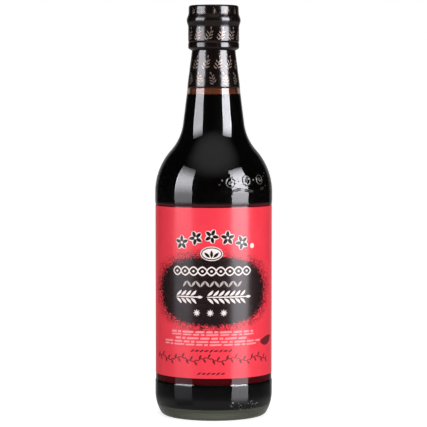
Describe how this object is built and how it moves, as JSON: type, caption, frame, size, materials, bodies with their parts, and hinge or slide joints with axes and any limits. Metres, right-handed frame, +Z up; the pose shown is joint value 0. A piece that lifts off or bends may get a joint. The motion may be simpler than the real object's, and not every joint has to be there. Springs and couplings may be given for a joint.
{
  "type": "soy sauce bottle",
  "caption": "Tall round glass bottle of dark sauce with a conical neck, a screw cap under black shrink film and a red paper label wrapped round it.",
  "frame": {"origin": "centre of the foot ring, on the plane that the bottle stands on", "axes": "+Z up along the bottle's axis, towards the cap; -Y towards the front of the label; +X to the right seen from the front"},
  "size_m": [0.0694, 0.0694, 0.2426],
  "materials": {
    "bottle_glass": "clear flint glass with a faint green tint where it is thick",
    "sauce": "nearly black liquid, amber where it is a thin film",
    "cap_plastic": "black moulded plastic",
    "sleeve_film": "black shrink film with small gold-brown print",
    "label_paper": "coated red paper with white, dark and pink print"
  },
  "bodies": {
    "root": {"glass_bottle": "bottle_glass", "soy_sauce": "sauce", "cap": "cap_plastic", "shrink_sleeve": "sleeve_film", "wrap_label": "label_paper"}
  },
  "joints": []
}
